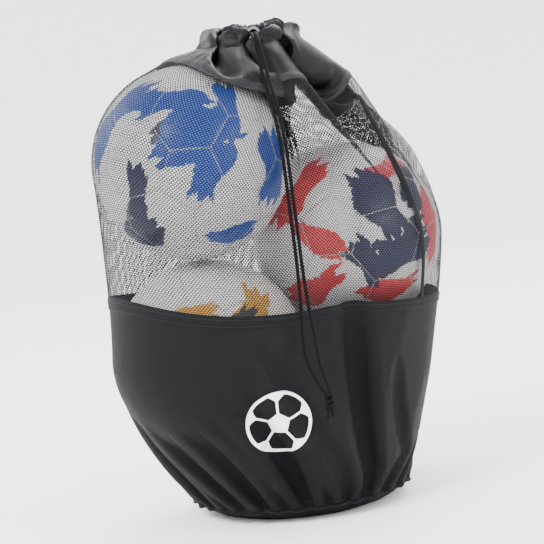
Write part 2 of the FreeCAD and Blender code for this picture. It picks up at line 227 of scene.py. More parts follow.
def braid(name, line, radius, plait=3.2 * MM, caps=True):
    """A braided cord along a line: a tube whose surface rises where its yarns cross over."""
    line = resample(line, BRAID_STEP)
    _, side, up = frames(line)
    far = run_length(line)
    turn = np.arange(BRAID_SIDES) / BRAID_SIDES * TAU
    phase = far[:, None] / plait * TAU
    weave = np.abs(np.sin(2 * turn[None] + phase)) + np.abs(np.sin(2 * turn[None] - phase + 0.8))
    size = radius * (0.90 + 0.10 * weave / 2 + 0.02 * np.sin(far[:, None] * 130))
    if caps:
        ends = np.minimum(far, far[-1] - far)[:, None]
        size = size * np.sqrt(np.clip(ends / (0.7 * radius) + 0.02, 0, 1))
    ring = np.cos(turn)[None, :, None] * side[:, None] + np.sin(turn)[None, :, None] * up[:, None]
    points = line[:, None] + ring * size[..., None]
    return add_grid(name, points, size=(TAU * radius, far[-1]))


def nurbs_line(name, route):
    """The points that a smooth curve with these control points follows."""
    curve = bpy.data.curves.new(name, "CURVE")
    curve.dimensions = "3D"
    curve.resolution_u = 24
    spline = curve.splines.new("NURBS")
    spline.points.add(len(route) - 1)
    for point, place in zip(spline.points, route):
        point.co = (place[0] * MM, place[1] * MM, place[2] * MM, 1)
    spline.order_u = 3
    spline.use_endpoint_u = True
    holder = bpy.data.objects.new(name, curve)
    bpy.context.collection.objects.link(holder)
    bpy.context.view_layer.update()
    mesh = bpy.data.meshes.new_from_object(holder)
    line = np.array([vertex.co[:] for vertex in mesh.vertices])
    bpy.data.objects.remove(holder)
    bpy.data.meshes.remove(mesh)
    return line


# ---- materials


def tree_node(tree, kind, settings=None, **inputs):
    """A shader node: plain values are set on its sockets, sockets are linked to them."""
    made = tree.nodes.new("ShaderNode" + kind)
    for key, value in (settings or {}).items():
        setattr(made, key, value)
    for key, value in inputs.items():
        socket = made.inputs[int(key[1:])] if key[0] == "_" else made.inputs[key.replace("_", " ")]
        if isinstance(value, bpy.types.NodeSocket):
            tree.links.new(value, socket)
        else:
            socket.default_value = value
    return made


def object_place(tree):
    return tree_node(tree, "TexCoord").outputs["Object"]


def math_node(tree, operation, first, second=0.0):
    return tree_node(tree, "Math", {"operation": operation}, _0=first, _1=second).outputs[0]


def weighed(tree, first, first_share, second, second_share):
    """Two values added, each one times its share."""
    first = math_node(tree, "MULTIPLY", first, first_share)
    second = math_node(tree, "MULTIPLY", second, second_share)
    return math_node(tree, "ADD", first, second)


def mix_colour(tree, share, first, second):
    made = tree_node(tree, "Mix", {"data_type": "RGBA"}, _0=share, _6=first, _7=second)
    return made.outputs[2]


def noise(tree, vector, scale, detail=3.0, rough=0.5):
    made = tree_node(tree, "TexNoise", Scale=scale, Detail=detail, Roughness=rough)
    tree.links.new(vector, made.inputs["Vector"])
    return made.outputs[0]


def bands(tree, vector, pitch, axis):
    """Soft ridges of this pitch, in metres, across one direction."""
    made = tree_node(tree, "TexWave", {"bands_direction": axis}, Scale=0.314159 / pitch)
    made.wave_profile = "SIN"
    tree.links.new(vector, made.inputs["Vector"])
    return made.outputs[1]


def ramp(tree, value, low, high):
    """0 below low, 1 above high, and even between them."""
    made = tree_node(tree, "MapRange", Value=value)
    made.inputs["From Min"].default_value = low
    made.inputs["From Max"].default_value = high
    return made.outputs[0]


def shader(name, rough, metal=0.0, specular=0.5, coat=0.0, coat_rough=0.2):
    made = bpy.data.materials.new(name)
    made.use_nodes = True
    tree = made.node_tree
    surface = tree.nodes["Principled BSDF"]
    settings = {"Roughness": rough, "Metallic": metal, "Specular IOR Level": specular}
    settings.update({"Coat Weight": coat, "Coat Roughness": coat_rough})
    for key, value in settings.items():
        surface.inputs[key].default_value = value
    return made, tree, surface


def bump(tree, surface, height, depth):
    made = tree_node(tree, "Bump", Strength=1.0, Distance=depth, Height=height)
    tree.links.new(made.outputs[0], surface.inputs["Normal"])


def woven(name, dark, light, rough, pitch, depth, specular, ribs=0.35, spread=0.10):
    """Plain weave on the cloth coordinates, with slubs, faint creases and uneven dye."""
    made, tree, surface = shader(name, rough, specular=specular)
    cloth = tree_node(tree, "UVMap", {"uv_map": "cloth"}).outputs[0]
    place = object_place(tree)
    warp = bands(tree, cloth, pitch, "X")
    weft = bands(tree, cloth, pitch * 1.25, "Y")
    yarn = math_node(tree, "MAXIMUM", warp, math_node(tree, "MULTIPLY", weft, 1 - ribs))
    slubs = noise(tree, cloth, 420, 2)
    dye = noise(tree, place, 9, 4, 0.6)
    creases = noise(tree, place, 55, 5, 0.62)
    share = weighed(tree, yarn, 0.55, dye, 0.45)
    tree.links.new(mix_colour(tree, share, (*dark, 1), (*light, 1)), surface.inputs["Base Color"])
    uneven = math_node(tree, "MULTIPLY_ADD", creases, spread)
    uneven.node.inputs[2].default_value = rough - spread / 2
    tree.links.new(uneven, surface.inputs["Roughness"])
    height = math_node(tree, "ADD", yarn, math_node(tree, "MULTIPLY", slubs, 0.5))
    height = math_node(tree, "ADD", height, math_node(tree, "MULTIPLY", creases, 2.2))
    bump(tree, surface, height, depth)
    return made


BLACK_DYE = (0.0008, 0.0008, 0.001)
oxford = woven("oxford", (0.0008, 0.0008, 0.0011), (0.0064, 0.0065, 0.0078), 0.60, 1.2 * MM, 0.34 * MM, 0.08)
base_cloth = woven("base_oxford", BLACK_DYE, (0.004, 0.004, 0.005), 0.7, 0.9 * MM, 0.16 * MM, 0.06)
tape_cloth = woven("binding", BLACK_DYE, (0.006, 0.006, 0.007), 0.6, 0.7 * MM, 0.12 * MM, 0.1, ribs=0.7)
satin = woven(
    "satin", (0.0012, 0.0013, 0.0017), (0.0055, 0.0057, 0.0070), rough=0.31, pitch=0.35 * MM,
    depth=0.05 * MM, specular=0.10, ribs=0.6, spread=0.12,
)
satin_edge = woven(
    "satin_edge", (0.0015, 0.0015, 0.002), (0.008, 0.0082, 0.0095), 0.5, 0.5 * MM, 0.10 * MM, 0.2
)
net_yarn = woven("net_yarn", BLACK_DYE, (0.0045, 0.0045, 0.0055), 0.6, 0.3 * MM, 0.03 * MM, 0.12)
thread = woven("thread", (0.003, 0.003, 0.004), (0.016, 0.016, 0.018), 0.5, 0.3 * MM, 0.03 * MM, 0.2)
cord_yarn = woven("cord_yarn", BLACK_DYE, (0.0038, 0.0038, 0.0045), 0.55, 0.5 * MM, 0.08 * MM, 0.05)


def white_print():
    made, tree, surface = shader("white_print", 0.42, specular=0.45)
    place = object_place(tree)
    grain = noise(tree, place, 900, 3)
    wear = noise(tree, place, 60, 4)
    share = weighed(tree, grain, 0.5, wear, 0.5)
    colour = mix_colour(tree, share, (0.72, 0.72, 0.71, 1), (0.93, 0.93, 0.92, 1))
    tree.links.new(colour, surface.inputs["Base Color"])
    bump(tree, surface, grain, 0.08 * MM)
    return made


def metal():
    made, tree, surface = shader("gunmetal", 0.3, metal=1.0)
    place = object_place(tree)
    scuffs = noise(tree, place, 700, 4)
    colour = mix_colour(tree, scuffs, (0.10, 0.10, 0.11, 1), (0.26, 0.26, 0.27, 1))
    tree.links.new(colour, surface.inputs["Base Color"])
    tree.links.new(ramp(tree, scuffs, -1.2, 1.9), surface.inputs["Roughness"])
    bump(tree, surface, scuffs, 0.03 * MM)
    return made


def rubber(name, colour):
    made, tree, surface = shader(name, 0.6)
    place = object_place(tree)
    grain = noise(tree, place, 300, 4)
    pale = tuple(min(1.0, c * 1.5 + 0.01) for c in colour)
    tree.links.new(mix_colour(tree, grain, (*colour, 1), (*pale, 1)), surface.inputs["Base Color"])
    bump(tree, surface, grain, 0.05 * MM)
    return made


PANEL_WHITE = (0.80, 0.80, 0.80)
BRISTLES = {"Scale": (60, 190, 60), "Rotation": (0.3, 0.9, 0.4)}


def ball_skin(name, first, second):
    """Grained white panels with two inks brushed over them, and darker glued seams."""
    made, tree, surface = shader(name, 0.36, specular=0.5, coat=0.15, coat_rough=0.25)
    place = object_place(tree)
    bristle = tree_node(tree, "Mapping", Vector=place, **BRISTLES).outputs[0]
    ragged = math_node(tree, "MULTIPLY_ADD", noise(tree, bristle, 3.0, 5, 0.6), 0.012)
    ragged.node.inputs[2].default_value = -0.006
    shaded = [c * 0.93 for c in PANEL_WHITE]
    colour = mix_colour(tree, noise(tree, place, 14, 3), (*shaded, 1), (*PANEL_WHITE, 1))
    for attribute, ink in (("ink_b", second), ("ink_a", first)):
        reach = tree_node(tree, "Attribute", {"attribute_name": attribute}).outputs["Fac"]
        inside = ramp(tree, math_node(tree, "ADD", reach, ragged), -0.0006, 0.0006)
        streaks = noise(tree, bristle, 5.0, 4)
        deep = [c * 0.62 for c in ink]
        pale = [min(1, c * 1.5 + 0.012) for c in ink]
        shade = mix_colour(tree, streaks, (*deep, 1), (*pale, 1))
        colour = mix_colour(tree, inside, colour, shade)
    seam = tree_node(tree, "Attribute", {"attribute_name": "seam"}).outputs["Fac"]
    open_panel = ramp(tree, seam, 0.0001, 0.0013)
    colour = mix_colour(tree, open_panel, (0.42, 0.42, 0.43, 1), colour)
    tree.links.new(colour, surface.inputs["Base Color"])
    pebbles = tree_node(tree, "TexVoronoi", Scale=520.0, Vector=place).outputs[0]
    height = math_node(tree, "ADD", math_node(tree, "MULTIPLY", pebbles, 0.35), open_panel)
    bump(tree, surface, height, 0.35 * MM)
    return made


pale_floor, floor_tree, floor_surface = shader("floor", 0.8, specular=0.2)
floor_grain = noise(floor_tree, object_place(floor_tree), 3.0)
floor_tree.links.new(
    mix_colour(floor_tree, floor_grain, (0.87, 0.87, 0.87, 1), (0.89, 0.89, 0.89, 1)),
    floor_surface.inputs["Base Color"],
)


def finish_piece(obj, material, body=None, nodes=()):
    obj.data.materials.clear()
    obj.data.materials.append(material)
    if body:
        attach(obj, body)
    if nodes:
        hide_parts(*nodes)
    return obj


# A floor that curves up all round into a low wall: radius and height in metres.
FLOOR_DROP = 0.0004
sweep = [(0.001, 0.0), (1.0, 0.0), (3.0, 0.0)]
sweep += [(3.0 + 1.5 * math.sin(a), 1.5 - 1.5 * math.cos(a)) for a in np.linspace(0.1, math.pi / 2, 12)]
sweep += [(4.5, 3.2)]
floor_turn = np.linspace(0, TAU, 97)[:-1]
round_floor = np.array(
    [[(r * math.cos(t), r * math.sin(t), z - FLOOR_DROP) for t in floor_turn] for r, z in sweep]
)
floor = add_grid("floor", round_floor)
floor.data.materials.append(pale_floor)

# ---- the drawcord

LEFT_STRAND = (
    (1.75, -70, 556.5), (1.75, -79, 556.5), (1.75, -87, 556.5), (2.4, -98, 555), (3.4, -107.5, 549),
    (5.6, -119.5, 532), (9, -136, 509), (13, -153, 487), (17, -168, 462), (19.8, -176, 434),
    (21.2, -178, 392), (21.8, -176, 345), (23, -174, 298), (22, -172.8, 254), (20.5, -172.3, 222),
    (20.8, -172, 196), (29, -172.2, 174), (36.8, -172.4, 160.5), (39.9, -172.5, 152.5),
)
RIGHT_STRAND = (
    (6.25, -70, 556.5), (6.25, -79, 556.5), (6.25, -87, 556.5), (6.9, -98.3, 555.2), (8.2, -107.9, 549.5),
    (10.8, -120, 532.5), (14.3, -136.5, 509.5), (18.4, -153.5, 487.4), (22.4, -168.5, 462.3),
    (25.2, -176.5, 434), (26.2, -178.5, 392), (27.4, -176.5, 345), (28, -174.4, 298), (30.5, -172.6, 252),
    (34.3, -172, 215), (36, -172, 188), (41, -172.2, 170), (44.2, -172.4, 159.5), (44.5, -172.5, 152),
)
CUT_ENDS = (
    ((40.6, -172.4, 142), (39.7, -172.9, 135), (38.3, -172.9, 128.5)),
    ((44, -172.6, 141.5), (44.9, -172.2, 136), (45, -172.6, 130.5)),
)
CORD = 4.0 * MM
DRAWN_CORD = 1.95 * MM
KNOT_WINDINGS = 2.6
KNOT_RADIUS = 3.5
KNOT_HEIGHT = 13.5
mouth = centre(*LOBES)
exit_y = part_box("eyelet")[0][1]
knot_at = centre("end_knot")

turns = np.linspace(0, 1, 160)
spin = TAU * KNOT_WINDINGS * turns
wrap_line = np.stack(
    [
        knot_at[0] + (KNOT_RADIUS + 0.5 * np.sin(3 * spin)) * MM * np.cos(spin),
        knot_at[1] + KNOT_RADIUS * MM * np.sin(spin),
        knot_at[2] + (turns - 0.5) * KNOT_HEIGHT * MM + 1.2 * MM * np.cos(spin),
    ],
    1,
)
knot = braid("end_knot_wraps", wrap_line, DRAWN_CORD)
finish_piece(knot, cord_yarn, "cord_tails", ["end_knot"])
for side, route in zip(("left", "right"), CUT_ENDS):
    lead = (knot_at[0] / MM, knot_at[1] / MM, route[0][2] + 5)
    end = braid("cut_end_" + side, nurbs_line("cut_end", (lead, *route)), DRAWN_CORD)
    finish_piece(end, cord_yarn, "cord_tails", ["drawcord_cut_ends"])
for side, route in (("left", LEFT_STRAND), ("right", RIGHT_STRAND)):
    line = nurbs_line("strand", route)
    strand = braid("drawcord_" + side, line, CORD / 2)
    finish_piece(strand, cord_yarn)
    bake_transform(strand)
    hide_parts("drawcord_strand_" + side, "drawcord_neck_" + side)

# ---- the bag's cloth, draped

BALL_NAMES = ("top_ball", "left_ball", "right_ball", "bottom_ball")
BALLS = [centre(name + "_cover") for name in BALL_NAMES]
BALL_RADIUS = (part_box("top_ball_cover")[1][2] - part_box("top_ball_cover")[0][2]) / 2
MOUTH_Z = 0.547
MOUTH_RADIUS = 0.034
BASE_SEAM = (0.002, 0.0274, 0.016, 0.128)
# Rings that hold the cloth out between the balls: x, y, z and radius.
HOOPS = (
    (0.002, 0.0274, 0.0, 0.098), BASE_SEAM, (-0.020, 0.009, 0.080, 0.150), (0.0, 0.0, 0.435, 0.156),
    (0.0, 0.0, 0.478, 0.118), (mouth[0], mouth[1], MOUTH_Z, MOUTH_RADIUS),
)
SHOULDER_Z = 0.435
# Where the wall and the net end: height on the Z axis, and degrees down towards +X.
HEM = (0.250, 4.0)
COLLAR = (0.500, 8.7)
COLUMNS = 240
WALL_ROWS, NET_ROWS, COLLAR_ROWS = 32, 36, 18
HEM_ROW = WALL_ROWS
COLLAR_ROW = WALL_ROWS + NET_ROWS
ROWS = COLLAR_ROW + COLLAR_ROWS + 1
GIRTH = 1.195
# The tube's width over its height, both in metres: it narrows to the base.
GIRTHS = ((0, 0.05, 0.10, 0.15, 0.20, 9), (0.845, 0.990, 1.105, 1.170, GIRTH, GIRTH))
FOLDS = 27
DEEPEST_PLEAT = 0.011
CLOTH_GAP = 1.7 * MM
CORD_TURN = math.radians(-84)
LOW_LEFT_TURN = math.radians(205)
# How far the collar hangs over the net, in mm, by degrees of turn.
COLLAR_DROP = ((0, 150, 185, 215, 250, 275, 305, 335, 360), (4, 2, 14, 34, 28, 16, 26, 12, 4))
DRAG = 0.92
GRAVITY_STEP = 0.04 * MM
FASTEST_STEP = 2 * MM
CEILING = MOUTH_Z + 20 * MM


def middle(z):
    """The middle of the bag at this height: on the Z axis, then leaning forward to the mouth."""
    return mouth[1] * np.clip((z - SHOULDER_Z) / (MOUTH_Z - SHOULDER_Z), 0, 1)


def tight_skin():
    """The tight skin round the balls and hoops: its radius over height and turn."""
    turn = np.radians(np.arange(0, 360, 3.0))
    tilt = np.radians(np.arange(-88, 89, 4.0))
    turn, tilt = (a.ravel() for a in np.meshgrid(turn, tilt))
    out = np.stack([np.cos(tilt) * np.cos(turn), np.cos(tilt) * np.sin(turn), np.sin(tilt)], 1)
    far = np.full(len(out), -1e9)
    for ball in BALLS:
        far = np.maximum(far, out @ ball + BALL_RADIUS + 2 * MM)
    for x, y, z, r in HOOPS:
        far = np.maximum(far, out @ np.array((x, y, z)) + r * np.cos(tilt))
    heights = np.linspace(BASE_SEAM[2], MOUTH_Z - 0.5 * MM, 120)
    turns = np.linspace(0, TAU, 120, endpoint=False)
    facing = out[:, 0, None] * np.cos(turns) + out[:, 1, None] * np.sin(turns)
    table = np.empty((len(heights), len(turns)))
    for i, z in enumerate(heights):
        gap = far - z * out[:, 2] - middle(z) * out[:, 1]
        table[i] = np.where(facing > 0.02, gap[:, None] / np.where(facing > 0.02, facing, 1), 9).min(0)
    return heights, table


def skin_at(heights, table, z, turn):
    """The skin's radius at these heights and turns, read between the table's values."""
    a = np.clip((z - heights[0]) / (heights[1] - heights[0]), 0, len(heights) - 1.001)
    i = a.astype(int)
    a = a - i
    b = (turn % TAU) / TAU * table.shape[1]
    j = b.astype(int) % table.shape[1]
    b = b - np.floor(b)
    k = (j + 1) % table.shape[1]
    low = table[i, j] * (1 - b) + table[i, k] * b
    high = table[i + 1, j] * (1 - b) + table[i + 1, k] * b
    return low * (1 - a) + high * a


def near(theta, turn, width):
    """1 at this turn, and fading to 0 on both sides of it."""
    away = (theta - turn + math.pi) % TAU - math.pi
    return np.exp(-((away / width) ** 2))


def column_lines(heights, table, theta):
    """Each column's line up the skin with its run, and the cloth that each of the three bands takes."""
    bands_at = np.empty((3, COLUMNS))
    lines = []
    for k, turn in enumerate(theta):
        r = skin_at(heights, table, heights, np.full(len(heights), turn))
        line = np.stack([r * np.cos(turn), middle(heights) + r * np.sin(turn), heights], 1)
        far = run_length(line)
        cuts = []
        for z, tilt in (HEM, COLLAR):
            above = heights - (z - line[:, 0] * math.tan(math.radians(tilt)))
            cuts.append(np.interp(0, above, far))
        bands_at[:, k] = (cuts[0] * 1.01, (cuts[1] - cuts[0]) * 1.03, (far[-1] - cuts[1]) * 1.05)
        lines.append((line, far))
    return lines, bands_at


def lay_out(rng, theta, lines, bands_at, low_left):
    """The cloth before it settles: points, lengths, steps up, girth of each row, and pleats."""
    bands_at[1] = 0.6 * bands_at[1] + 0.4 * bands_at[1].mean()
    drop = np.interp(np.degrees(theta), *COLLAR_DROP) * MM
    drop += 2 * MM * wobble(rng, theta, 9, 0.2) / 1.5
    bands_at[2] = bands_at[2] * 1.05 + drop + 9 * MM * low_left
    bands_at[1] -= drop
    counts = (WALL_ROWS, NET_ROWS, COLLAR_ROWS)
    steps_up = np.concatenate([np.repeat(bands_at[k : k + 1] / n, n, 0) for k, n in enumerate(counts)])
    lengths = np.concatenate([np.zeros((1, COLUMNS)), np.cumsum(steps_up, 0)])
    points = np.empty((ROWS, COLUMNS, 3))
    for k, (line, far) in enumerate(lines):
        points[:, k] = at_length(lengths[:, k] / lengths[-1, k] * far[-1], far, line)
    girth = np.interp(lengths.mean(1), *GIRTHS)
    phase = FOLDS * theta + 1.6 * wobble(rng, theta, 9, 0.3) / 3
    uneven = np.clip(1 + 0.35 * wobble(rng, theta, 12, 0.3) / 2.5, 0.4, 1.6)
    ring = np.linalg.norm(points - np.roll(points, 1, 1), axis=2).sum(1)
    slack = np.maximum(girth / ring, 1.0) - 1
    steep = np.sqrt(4 * slack + 2.46 * slack**2)
    depth = np.minimum(ring / FOLDS / TAU * steep, DEEPEST_PLEAT)
    points = points + normals(points) * (depth[:, None] * np.cos(phase) * uneven)[..., None]
    points += rng.normal(size=points.shape) * 0.2 * MM
    return points, lengths, steps_up, girth, phase


def proud_limits(theta, low_left):
    """How far outside the skin the cloth may stand: most at the collar, and little by the cord."""
    row = np.arange(ROWS)
    proud = np.interp(
        row, [0, 2, HEM_ROW, HEM_ROW + 6, COLLAR_ROW - 4, COLLAR_ROW, ROWS - 1],
        np.array([0.5, 3, 3, 1.5, 4, 14, 17]) * MM,
    )
    more = np.interp(row, [COLLAR_ROW - 12, COLLAR_ROW, ROWS - 1], [0, 14 * MM, 9 * MM])
    proud = proud[:, None] + more[:, None] * np.maximum(low_left, 0.3)
    reach = np.interp(row, [COLLAR_ROW, COLLAR_ROW + 8, ROWS - 1], [0.2, 0.4, 0.6])[:, None]
    near_cord = near(theta, CORD_TURN, reach)
    return proud * (1 - near_cord) + np.minimum(proud, 2.2 * MM) * near_cord


def drape(seed=4, steps=110, inner=10):
    """The whole tube of cloth, gathered at the mouth and settled over the balls."""
    rng = np.random.default_rng(seed)
    heights, table = tight_skin()
    theta = np.arange(COLUMNS) / COLUMNS * TAU
    low_left = near(theta, LOW_LEFT_TURN, 0.75)
    lines, bands_at = column_lines(heights, table, theta)
    points, lengths, steps_up, girth, phase = lay_out(rng, theta, lines, bands_at, low_left)
    rest = np.repeat((girth / COLUMNS)[:, None], COLUMNS, 1)
    slant = np.sqrt(((rest[:-1] + rest[1:]) / 2) ** 2 + steps_up**2)
    row = np.arange(ROWS)
    wall, collar = row <= HEM_ROW, row >= COLLAR_ROW
    shear = np.where(wall, 0.5, np.where(collar, 0.35, 0.12))[:, None] * np.ones(COLUMNS)
    stiff = np.where(wall, 0.30, np.where(collar, 0.40, 0.10))[:, None] * np.ones(COLUMNS)
    fixed = np.zeros((ROWS, COLUMNS))
    fixed[0] = fixed[-1] = 1
    proud = proud_limits(theta, low_left)
    puff = np.where(collar, 0.16 * MM, 0.05 * MM)[:, None, None]
    one = np.ones((ROWS, COLUMNS))
    two_up, column = lengths[2:] - lengths[:-2], np.arange(COLUMNS)

    def pull(first, second, rest, weight, free_a, free_b):
        gap = second - first
        size = np.sqrt((gap * gap).sum(-1)) + 1e-9
        move = (weight * (size - rest) / size / np.maximum(free_a + free_b, 1e-9))[..., None] * gap
        return move * free_a[..., None], move * free_b[..., None]

    def pull_round(a, b, rest, weight):
        one_way, other = pull(points[:, a], points[:, b], rest, weight, 1 - fixed[:, a], 1 - fixed[:, b])
        points[:, a] += one_way
        points[:, b] -= other

    def pull_up(half, gap, rest, weight, shift=0):
        low = np.arange(ROWS - gap)
        low = low[(low // gap) % 2 == half]
        upper = np.roll(points[low + gap], -shift, 1)
        free, free_up = 1 - fixed[low], 1 - fixed[low + gap]
        one_way, other = pull(points[low], upper, rest[low], weight[low], free, free_up)
        points[low] += one_way
        points[low + gap] = np.roll(upper - other, shift, 1)

    pairs = [(column[column % 2 == k], (column[column % 2 == k] + 1) % COLUMNS) for k in (0, 1)]
    bends = []
    for gap in (2, 4, 8):
        chosen = (column // gap) % 2 == 0
        for part in (column[chosen], column[~chosen]):
            bends.append((gap, part, (part + gap) % COLUMNS))
    speed = np.zeros_like(points)
    for _ in range(steps):
        speed *= DRAG
        speed[..., 2] -= GRAVITY_STEP
        speed += normals(points) * puff
        before = points.copy()
        points += speed * (1 - fixed)[..., None]
        for _ in range(inner):
            for a, b in pairs:
                pull_round(a, b, rest[:, :1], 1.0)
            for half in (0, 1):
                pull_up(half, 1, steps_up, one)
            for half in (0, 1):
                pull_up(half, 1, slant, shear, 1)
                pull_up(half, 1, slant, shear, -1)
            for gap, a, b in bends:
                weight = {2: stiff, 4: stiff * 0.6, 8: stiff * 0.35 * collar[:, None]}[gap]
                pull_round(a, b, rest[:, :1] * gap, weight[:, :1])
            for half in (0, 1):
                pull_up(half, 2, two_up, stiff * 0.8)
            for ball in BALLS:
                gap = points - ball
                size = np.sqrt((gap * gap).sum(-1))
                hit = (size < BALL_RADIUS + CLOTH_GAP) & (fixed == 0)
                points[hit] = ball + gap[hit] / size[hit][:, None] * (BALL_RADIUS + CLOTH_GAP)
            shift = middle(points[..., 2])
            along = points[..., 1] - shift
            turn = np.arctan2(along, points[..., 0])
            out = np.hypot(along, points[..., 0])
            limit = skin_at(heights, table, points[..., 2], turn) + proud
            scale = np.where((out > limit) & (fixed == 0), limit / np.maximum(out, 1e-6), 1)
            points[..., 0] *= scale
            points[..., 1] = shift + along * scale
            low_enough = np.minimum(points[..., 2], CEILING)
            points[..., 2] = np.where(fixed == 0, low_enough, points[..., 2])
        speed = points - before
        pace = np.sqrt((speed * speed).sum(-1))
        speed *= np.minimum(1, FASTEST_STEP / np.maximum(pace, 1e-9))[..., None]
    return points, lengths, phase


CLOTH, UP, PLEATS = drape()
NET_HEIGHT = float((UP[COLLAR_ROW] - UP[HEM_ROW]).mean())
WALL_HEIGHT = float(UP[HEM_ROW].mean())
COLLAR_HEIGHT = float((UP[-1] - UP[COLLAR_ROW]).mean())
ROUND = np.arange(720) * COLUMNS / 720


def band(first, last):
    """Part of the draped cloth between two rows, four times as fine."""
    return patch(CLOTH, np.linspace(first, last, (last - first) * 4 + 1), ROUND)


rng = np.random.default_rng(11)

wall = add_grid("lower_wall_cloth", band(0, HEM_ROW), size=(GIRTH, WALL_HEIGHT))
finish_piece(wall, oxford, "bag", ["lower_wall"])
wall_tree = BVHTree.FromObject(wall, bpy.context.evaluated_depsgraph_get())

collar = add_grid("collar_cloth", band(COLLAR_ROW, ROWS - 1), size=(GIRTH, COLLAR_HEIGHT))
finish_piece(collar, satin, "bag", ["collar_panel"])


def fold_strip(name, row_low, row_high, out, thick):
    """A flat tape sewn on between two rows of the cloth, with rounded edges."""
    places = np.linspace(row_low, row_high, 7)
    profile = np.array([0.0, 0.75, 1.0, 1.0, 1.0, 0.75, 0.0])
    points = patch(CLOTH, places, ROUND)
    points = points + normals(points) * (out + thick * profile[:, None, None])
    return add_grid(name, points, size=(GIRTH, 0.012))


def stitches(name, line, out, pitch, length, radius):
    """A row of thread stitches on a closed line, each one dipping into the cloth at its ends."""
    closed = np.vstack([line, line[:1]])
    far = run_length(closed)
    count = int(far[-1] / pitch)
    outs = np.vstack([out, out[:1]])
    rings, sides = 5, 6
    share = np.linspace(-0.5, 0.5, rings)
    lift = (1 - (2 * share) ** 2) * 0.9 * radius
    turn = np.arange(sides) / sides * TAU
    places = (np.arange(count)[:, None] * pitch + share[None] * length) % far[-1]
    at, up = at_length(places, far, closed), at_length(places, far, outs)
    along = np.gradient(at, axis=1)
    along /= np.linalg.norm(along, axis=2, keepdims=True) + 1e-12
    side = np.cross(along, up)
    size = radius * np.sqrt(np.clip(1.05 - (2 * share) ** 2, 0.05, 1))
    ring = np.cos(turn)[:, None] * side[:, :, None] + np.sin(turn)[:, None] * up[:, :, None]
    points = at[:, :, None] + up[:, :, None] * lift[:, None, None] + ring * size[:, None, None]
    faces, ci, cj = grid_faces(rings, sides, True)
    every = (np.arange(count)[:, None, None] * rings * sides + faces[None]).reshape(-1, 4)
    uv = np.tile(np.stack([cj * 0.0003, ci * 0.0008], -1), (count, 1, 1)).reshape(-1, 2)
    return add_mesh(name, points.reshape(-1, 3), every, uv)


STITCH_PITCH, STITCH_LENGTH, THREAD_RADIUS = 3.6 * MM, 2.7 * MM, 0.33 * MM


def row_stitches(name, row, out):
    """Stitches all the way round along one row of the cloth."""
    strip = patch(CLOTH, [row - 0.1, row, row + 0.1], ROUND)
    away = normals(strip)[1]
    made = stitches(name, strip[1] + away * out, away, STITCH_PITCH, STITCH_LENGTH, THREAD_RADIUS)
    return finish_piece(made, thread, "bag")


wall_row = WALL_HEIGHT / WALL_ROWS
collar_row = COLLAR_HEIGHT / COLLAR_ROWS
hem_rows = 12 * MM / wall_row
hem_tape = fold_strip("wall_hem_fold", HEM_ROW - hem_rows, HEM_ROW + 0.25, 0.2 * MM, 1.1 * MM)
finish_piece(hem_tape, oxford, "bag", ["wall_hem_tape"])
row_stitches("hem_stitch_top", HEM_ROW - 0.22 * hem_rows, 1.25 * MM)
row_stitches("hem_stitch_low", HEM_ROW - 0.80 * hem_rows, 1.25 * MM)
collar_rows = 8 * MM / collar_row
collar_tape = fold_strip("collar_hem_fold", COLLAR_ROW - 0.2, COLLAR_ROW + collar_rows, 0.2 * MM, 0.8 * MM)
finish_piece(collar_tape, satin_edge, "bag", ["collar_seam_tape"])
row_stitches("collar_stitch_low", COLLAR_ROW + 0.25 * collar_rows, 0.95 * MM)
row_stitches("collar_stitch_top", COLLAR_ROW + 0.95 * collar_rows, 0.75 * MM)


def seam_strip(name, turn, width, row_low, row_high, out, thick):
    """A tape sewn up the cloth at this turn."""
    middle_column = (turn % 360) / 360 * COLUMNS
    half = width / 2 / (GIRTH / COLUMNS)
    columns = middle_column + np.linspace(-half, half, 9)
    rows = np.linspace(row_low, row_high, int((row_high - row_low) * 4))
    profile = np.array([0.0, 0.7, 1.0, 1.0, 1.15, 1.0, 1.0, 0.7, 0.0])
    points = patch(CLOTH, rows, columns)
    points = points + normals(points, closed=False) * (out + thick * profile[None, :, None])
    return add_grid(name, points, closed=False, size=(width, (row_high - row_low) * wall_row))


wall_seam = seam_strip("wall_seam_binding", 68, 9 * MM, 0.3, HEM_ROW - hem_rows, 0.2 * MM, 0.9 * MM)
finish_piece(wall_seam, tape_cloth, "bag", ["wall_seam_tape"])
net_seam = seam_strip("net_seam_binding", -22, 7 * MM, HEM_ROW + 0.2, COLLAR_ROW, 0.3 * MM, 0.7 * MM)
finish_piece(net_seam, tape_cloth, "bag", ["mesh_seam_tape"])

# ---- the net, hole by hole

NET_COLUMNS = 327
HOLE_STEP = GIRTH / NET_COLUMNS
HOLE_TALL, HOLE_SHORT = 1.55 * MM, 0.55 * MM
HOLE_RISE = HOLE_TALL + HOLE_SHORT
YARN = 0.53 * MM
YARN_RISE = 0.28 * MM
net_rows = int(NET_HEIGHT / HOLE_RISE) - 1
fine_rows, fine_cols = NET_ROWS * 4 + 1, COLUMNS * 4
fine = patch(CLOTH, np.linspace(HEM_ROW, COLLAR_ROW, fine_rows), np.arange(fine_cols) / 4)
fine_out = normals(fine)


def on_net(u, v, out):
    """Points on the draped net from cloth coordinates in metres."""
    a = np.clip(v / NET_HEIGHT, 0, 1) * (fine_rows - 1)
    b = (u / GIRTH % 1.0) * fine_cols
    i = np.minimum(a.astype(int), fine_rows - 2)
    j = b.astype(int) % fine_cols
    k = (j + 1) % fine_cols
    a, b = (a - i)[..., None], (b - np.floor(b))[..., None]

    def blend(field):
        low = field[i, j] * (1 - b) + field[i, k] * b
        high = field[i + 1, j] * (1 - b) + field[i + 1, k] * b
        return low * (1 - a) + high * a

    return blend(fine) + blend(fine_out) * out


